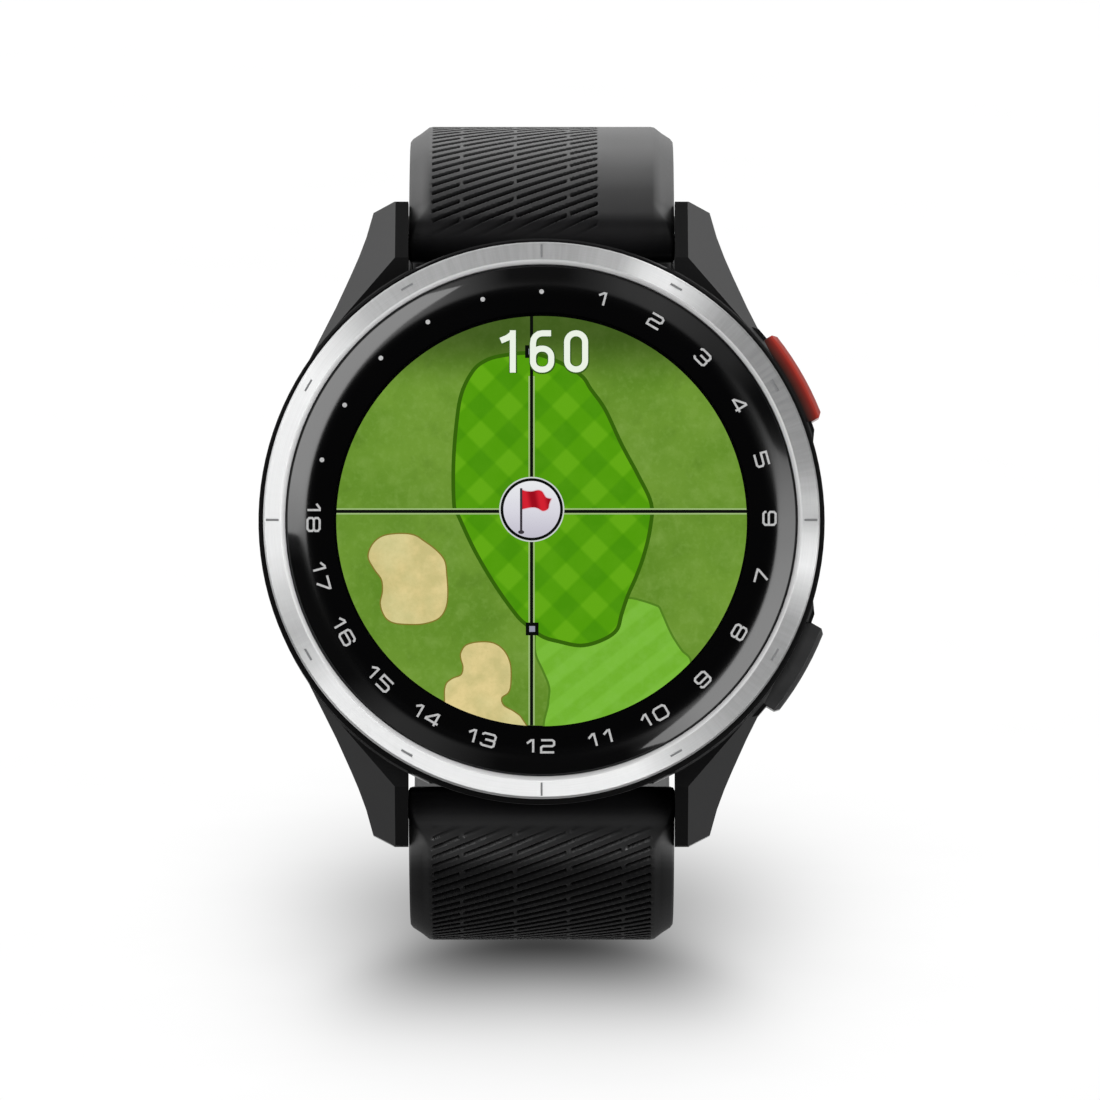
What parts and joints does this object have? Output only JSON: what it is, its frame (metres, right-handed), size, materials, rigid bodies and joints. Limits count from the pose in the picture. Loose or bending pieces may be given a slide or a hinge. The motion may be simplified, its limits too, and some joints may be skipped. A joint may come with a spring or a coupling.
{
  "type": "golf gps watch",
  "caption": "Round golf GPS wristwatch with a metal bezel, colour course map screen, two side buttons and a grooved black silicone strap with a pin buckle, unbuckled.",
  "frame": {"origin": "centre of the flat rear face of the case, the face that rests on the wrist", "axes": "-Y out of the screen, +Z towards twelve o'clock, +X towards three o'clock, the side with the two buttons"},
  "size_m": [0.0436, 0.0933, 0.064],
  "materials": {
    "black_polymer": "matte",
    "dark_polymer": "matte",
    "bezel_metal": "brushed",
    "lens_glass": "polished",
    "black_rubber": "matte",
    "red_rubber": "matte",
    "display_black": "gloss",
    "flex_circuit": "satin",
    "steel": "satin",
    "buckle_steel": "satin",
    "board_green": "satin",
    "chip_black": "matte",
    "copper_foil": "satin",
    "battery_foil": "satin",
    "red_wire": "satin",
    "gold_contact": "polished",
    "orange_metal": "satin",
    "black_metal": "satin",
    "strap_silicone": "matte"
  },
  "bodies": {
    "case": {"case_housing": "black_polymer", "bezel": "bezel_metal", "lens": "lens_glass", "lens_gasket": "black_rubber", "display_panel": "display_black", "display_flex": "flex_circuit", "inner_frame": "dark_polymer", "frame_screws": "steel", "main_board": "board_green", "shield_can": "steel", "board_chips": "chip_black", "gps_antenna": "copper_foil", "battery": "battery_foil", "battery_lead": "red_wire", "vibration_motor": "steel", "rear_cover": "dark_polymer", "rear_gasket": "red_rubber", "rear_screws": "steel", "charge_port": "dark_polymer", "charge_contacts": "gold_contact", "start_switch": "chip_black", "back_switch": "chip_black"},
    "start_button": {"start_button_cap": "orange_metal", "start_button_stem": "steel", "start_button_seal": "black_rubber", "start_button_clip": "steel", "start_button_spring": "steel"},
    "back_button": {"back_button_cap": "black_metal", "back_button_stem": "steel", "back_button_seal": "black_rubber", "back_button_clip": "steel", "back_button_spring": "steel"},
    "upper_strap": {"strap_upper": "strap_silicone", "spring_bar_tube_upper": "steel", "spring_bar_tip_upper": "steel", "spring_bar_spring_upper": "steel", "fixed_keeper": "strap_silicone", "buckle_bar": "steel"},
    "upper_release_pin": {"release_pin_upper": "steel"},
    "strap_slider": {"sliding_keeper": "strap_silicone"},
    "buckle_loop": {"buckle_frame": "buckle_steel"},
    "tongue": {"buckle_tang": "buckle_steel"},
    "lower_strap": {"strap_lower": "strap_silicone", "spring_bar_tube_lower": "steel", "spring_bar_tip_lower": "steel", "spring_bar_spring_lower": "steel"},
    "lower_release_pin": {"release_pin_lower": "steel"}
  },
  "joints": [
    {"name": "start_button_press", "type": "slide", "parent": "case", "child": "start_button", "axis": [-0.8669, 0, -0.4985], "range_m": [0, 0.0006], "deforming": ["start_button_spring"]},
    {"name": "back_button_press", "type": "slide", "parent": "case", "child": "back_button", "axis": [-0.8669, 0, 0.4985], "range_m": [0, 0.0006], "deforming": ["back_button_spring"]},
    {"name": "upper_strap_swing", "type": "hinge", "parent": "case", "child": "upper_strap", "pos_m": [0, -0.0033, 0.0223], "axis": [1, 0, 0], "range_deg": [-8, 55]},
    {"name": "lower_strap_swing", "type": "hinge", "parent": "case", "child": "lower_strap", "pos_m": [0, -0.0033, -0.0223], "axis": [-1, 0, 0], "range_deg": [-8, 55]},
    {"name": "upper_release", "type": "slide", "parent": "upper_strap", "child": "upper_release_pin", "axis": [-1, 0, 0], "range_m": [0, 0.0013], "deforming": ["spring_bar_spring_upper"]},
    {"name": "lower_release", "type": "slide", "parent": "lower_strap", "child": "lower_release_pin", "axis": [-1, 0, 0], "range_m": [0, 0.0013], "deforming": ["spring_bar_spring_lower"]},
    {"name": "keeper_slide", "type": "hinge", "parent": "upper_strap", "child": "strap_slider", "pos_m": [0, 0.01517, -0.004], "axis": [1, 0, 0], "range_deg": [-1.5, 22]},
    {"name": "buckle_swing", "type": "hinge", "parent": "upper_strap", "child": "buckle_loop", "pos_m": [0, 0.04628, 0.01137], "axis": [1, 0, 0], "range_deg": [-25, 25]},
    {"name": "tongue_swing", "type": "hinge", "parent": "buckle_loop", "child": "tongue", "pos_m": [0, 0.04628, 0.01137], "axis": [1, 0, 0], "range_deg": [0, 80]}
  ]
}
